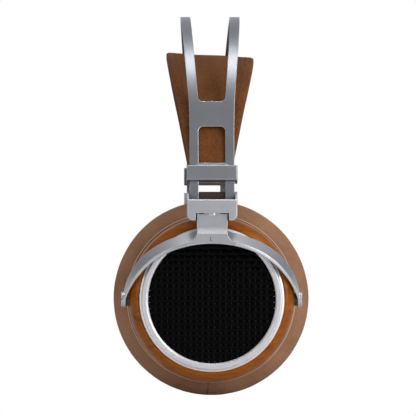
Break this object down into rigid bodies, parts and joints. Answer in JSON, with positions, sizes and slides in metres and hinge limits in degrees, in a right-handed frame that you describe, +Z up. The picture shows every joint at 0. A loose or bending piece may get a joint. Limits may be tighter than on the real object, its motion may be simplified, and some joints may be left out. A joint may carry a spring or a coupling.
{
  "type": "over ear headphones",
  "caption": "Open-back over ear headphones with lacquered wooden cups, woven black grilles, metal yokes, a steel arch and a brown leather strap and pads.",
  "frame": {"origin": "on the floor plane under the lowest points of the two ear pads, midway between the cups", "axes": "+X to the wearer's left, -Y towards the wearer's face, +Z up; the ear axis is 52 mm above the origin"},
  "size_m": [0.1824, 0.104, 0.2048],
  "materials": {
    "band_metal": "bead blasted spring steel, satin",
    "clip_metal": "fine bead blasted, anodised",
    "block_metal": "fine bead blasted, anodised",
    "yoke_metal": "satin with bright bevelled edges",
    "bezel_metal": "turned, satin",
    "screw_heads": "satin",
    "steel_fittings": "satin",
    "dark_screws": "black oxide",
    "spring_steel": "plain",
    "nylon": "plain black",
    "brass": "plain",
    "lacquered_wood": "clear gloss lacquer over a warm stain",
    "grille_black": "woven flat tapes, black",
    "dust_cloth": "thin black mesh",
    "baffle_plastic": "fine moulded texture",
    "driver_plastic": "plain",
    "magnet": "nickel plated",
    "copper": "enamelled copper wire",
    "film": "thin film",
    "pad_leather": "smooth, soft",
    "strap_leather": "pebbled, with stitching",
    "lining_suede": "suede"
  },
  "bodies": {
    "frame": {"headband_frame": "band_metal", "left_yoke_block": "block_metal", "left_leg_rivets": "steel_fittings", "right_yoke_block": "block_metal", "right_leg_rivets": "steel_fittings"},
    "strap": {"head_strap": "strap_leather", "strap_lining": "lining_suede"},
    "left_slider": {"left_slider_front": "clip_metal", "left_slider_back": "clip_metal", "left_slider_screws": "dark_screws", "left_slider_spring": "spring_steel", "left_strap_end": "strap_leather"},
    "left_yoke": {"left_yoke": "yoke_metal", "left_swivel_pin": "steel_fittings", "left_swivel_washer": "nylon"},
    "left_cup": {"left_pivot_screws": "screw_heads", "left_pivot_washers": "nylon", "left_pivot_inserts": "brass", "left_ear_cup": "lacquered_wood", "left_bezel_ring": "bezel_metal", "left_grille": "grille_black", "left_grille_cloth": "dust_cloth", "left_baffle": "baffle_plastic", "left_baffle_screws": "dark_screws", "left_driver_frame": "driver_plastic", "left_driver_magnet": "magnet", "left_voice_coil": "copper", "left_diaphragm": "film", "left_ear_pad": "pad_leather", "left_pad_ring": "baffle_plastic", "left_pad_scrim": "dust_cloth", "left_jack_socket": "steel_fittings", "left_jack_nut": "steel_fittings"},
    "right_slider": {"right_slider_front": "clip_metal", "right_slider_back": "clip_metal", "right_slider_screws": "dark_screws", "right_slider_spring": "spring_steel", "right_strap_end": "strap_leather"},
    "right_yoke": {"right_yoke": "yoke_metal", "right_swivel_pin": "steel_fittings", "right_swivel_washer": "nylon"},
    "right_cup": {"right_pivot_screws": "screw_heads", "right_pivot_washers": "nylon", "right_pivot_inserts": "brass", "right_ear_cup": "lacquered_wood", "right_bezel_ring": "bezel_metal", "right_grille": "grille_black", "right_grille_cloth": "dust_cloth", "right_baffle": "baffle_plastic", "right_baffle_screws": "dark_screws", "right_driver_frame": "driver_plastic", "right_driver_magnet": "magnet", "right_voice_coil": "copper", "right_diaphragm": "film", "right_ear_pad": "pad_leather", "right_pad_ring": "baffle_plastic", "right_pad_scrim": "dust_cloth", "right_jack_socket": "steel_fittings", "right_jack_nut": "steel_fittings"}
  },
  "joints": [
    {"name": "left_slider", "type": "slide", "parent": "frame", "child": "left_slider", "axis": [-0.309, 0, 0.9511], "range_m": [0, 0.015]},
    {"name": "right_slider", "type": "slide", "parent": "frame", "child": "right_slider", "axis": [0.309, 0, 0.9511], "range_m": [0, 0.015]},
    {"name": "strap_lift", "type": "slide", "parent": "frame", "child": "strap", "axis": [0, 0, 1], "range_m": [0, 0.0143], "deforming": ["head_strap", "strap_lining"]},
    {"name": "left_yoke_swivel", "type": "hinge", "parent": "frame", "child": "left_yoke", "pos_m": [0.0872, 0, 0.099], "axis": [0, 0, 1], "range_deg": [-6, 6]},
    {"name": "left_cup_tilt", "type": "hinge", "parent": "left_yoke", "child": "left_cup", "pos_m": [0.07, 0, 0.052], "axis": [0, 1, 0], "range_deg": [-20, 4]},
    {"name": "right_yoke_swivel", "type": "hinge", "parent": "frame", "child": "right_yoke", "pos_m": [-0.0872, 0, 0.099], "axis": [0, 0, -1], "range_deg": [-6, 6]},
    {"name": "right_cup_tilt", "type": "hinge", "parent": "right_yoke", "child": "right_cup", "pos_m": [-0.07, 0, 0.052], "axis": [0, -1, 0], "range_deg": [-20, 4]}
  ],
  "couplings": [
    {"joint": "right_slider", "follows": "left_slider", "ratio": 1},
    {"joint": "strap_lift", "follows": "left_slider", "ratio": 0.95106}
  ]
}
